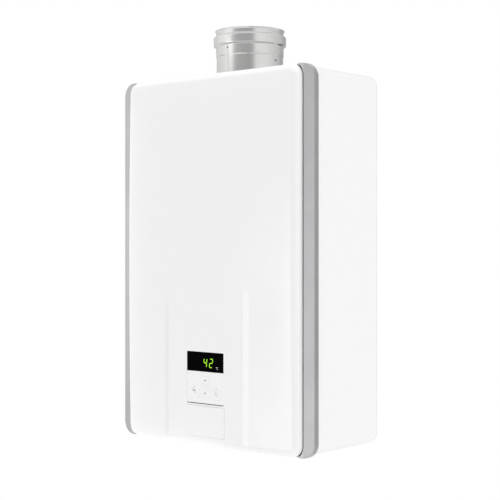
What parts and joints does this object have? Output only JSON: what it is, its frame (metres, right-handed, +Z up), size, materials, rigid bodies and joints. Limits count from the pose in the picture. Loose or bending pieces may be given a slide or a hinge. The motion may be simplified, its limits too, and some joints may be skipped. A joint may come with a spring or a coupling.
{
  "type": "tankless gas water heater",
  "caption": "Wall-hung tankless gas water heater: white domed cover with grey side trims, temperature panel and steel flue collar on top.",
  "frame": {"origin": "middle of the four wall-fixing holes on the wall plane", "axes": "+Z up, +Y into the wall, the front cover faces -Y, +X to the right seen from the room"},
  "size_m": [0.47, 0.2432, 0.7935],
  "materials": {
    "white_enamel": "glossy white enamel",
    "white_plastic": "satin white plastic",
    "grey_trim": "metallic grey paint",
    "stainless": "brushed",
    "coated_sheet": "zinc coated",
    "screw_steel": "bright zinc",
    "copper": "bare copper",
    "brass": "machined",
    "die_cast": "as cast",
    "burner_steel": "heat stained",
    "plunger_steel": "ground",
    "black_plastic": "moulded",
    "grey_plastic": "moulded",
    "motor_can": "black paint",
    "rubber": "matte",
    "ceramic": "glazed",
    "board": "lacquered",
    "lead": "extruded",
    "window": "polished",
    "lit_bars": "glowing",
    "lamp": "translucent"
  },
  "bodies": {
    "chassis": {"rear_casing": "white_enamel", "flue_collar": "stainless", "exhaust_pipe": "stainless", "wall_brackets": "coated_sheet", "base_plate": "coated_sheet", "stack_stays": "coated_sheet", "burner_box": "coated_sheet", "fan_housing": "coated_sheet", "exhaust_hood": "coated_sheet", "casing_screws": "screw_steel", "cover_screws": "screw_steel", "heat_exchanger_shell": "copper", "heat_exchanger_fins": "copper", "heat_exchanger_tube": "copper", "cold_pipe": "copper", "hot_pipe": "copper", "gas_inlet": "brass", "cold_inlet": "brass", "hot_outlet": "brass", "gas_nozzles": "brass", "drain_plugs": "brass", "gas_manifold": "die_cast", "gas_valve_body": "die_cast", "gas_pipe": "die_cast", "burner_blades": "burner_steel", "gas_solenoids": "black_plastic", "flow_valve_body": "black_plastic", "flow_servo": "black_plastic", "igniter": "black_plastic", "board_components": "black_plastic", "board_case": "grey_plastic", "fan_motor": "motor_can", "front_gasket": "rubber", "flue_gasket": "rubber", "flue_seal": "rubber", "cable_grommet": "rubber", "spark_electrodes": "ceramic", "control_board": "board", "wiring_harness": "lead"},
    "cover": {"front_cover": "white_enamel", "cover_frame": "white_enamel", "left_trim": "grey_trim", "right_trim": "grey_trim", "service_plate": "white_plastic", "panel_housing": "white_plastic", "display_window": "window", "display_digits": "lit_bars", "key_fascia": "white_plastic", "panel_board": "board", "status_lamps": "lamp"},
    "up_key": {"up_button": "white_plastic"},
    "down_key": {"down_button": "white_plastic"},
    "priority_key": {"priority_button": "white_plastic"},
    "power_key": {"power_button": "white_plastic"},
    "fan_rotor": {"fan_impeller": "grey_plastic", "fan_shaft": "coated_sheet"},
    "turbine": {"flow_turbine": "grey_plastic"},
    "throttle": {"flow_spindle": "brass"},
    "shutoff": {"shutoff_plunger": "plunger_steel"},
    "modulator": {"modulating_plunger": "plunger_steel"}
  },
  "joints": [
    {"name": "cover_slide", "type": "slide", "parent": "chassis", "child": "cover", "axis": [0, -1, 0], "range_m": [0, 0.3]},
    {"name": "up_press", "type": "slide", "parent": "cover", "child": "up_key", "axis": [0, 1, 0], "range_m": [0, 0.0006], "stiffness_N_per_m": 1500, "springref_m": -0.0006},
    {"name": "down_press", "type": "slide", "parent": "cover", "child": "down_key", "axis": [0, 1, 0], "range_m": [0, 0.0006], "stiffness_N_per_m": 1500, "springref_m": -0.0006},
    {"name": "priority_press", "type": "slide", "parent": "cover", "child": "priority_key", "axis": [0, 1, 0], "range_m": [0, 0.0006], "stiffness_N_per_m": 1500, "springref_m": -0.0006},
    {"name": "power_press", "type": "slide", "parent": "cover", "child": "power_key", "axis": [0, 1, 0], "range_m": [0, 0.0006], "stiffness_N_per_m": 1500, "springref_m": -0.0006},
    {"name": "fan_spin", "type": "hinge", "parent": "chassis", "child": "fan_rotor", "pos_m": [0, -0.1168, -0.1693], "axis": [0, 1, 0], "continuous": true},
    {"name": "turbine_spin", "type": "hinge", "parent": "chassis", "child": "turbine", "pos_m": [0.165, -0.108, -0.296], "axis": [0, 0, 1], "continuous": true},
    {"name": "throttle_turn", "type": "hinge", "parent": "chassis", "child": "throttle", "pos_m": [0.165, -0.14, -0.248], "axis": [0, 1, 0], "range_deg": [0, 90]},
    {"name": "shutoff_lift", "type": "slide", "parent": "chassis", "child": "shutoff", "axis": [0, -1, 0], "range_m": [0, 0.004], "stiffness_N_per_m": 400, "springref_m": -0.006},
    {"name": "modulator_lift", "type": "slide", "parent": "chassis", "child": "modulator", "axis": [0, -1, 0], "range_m": [0, 0.004], "stiffness_N_per_m": 400, "springref_m": -0.006}
  ]
}
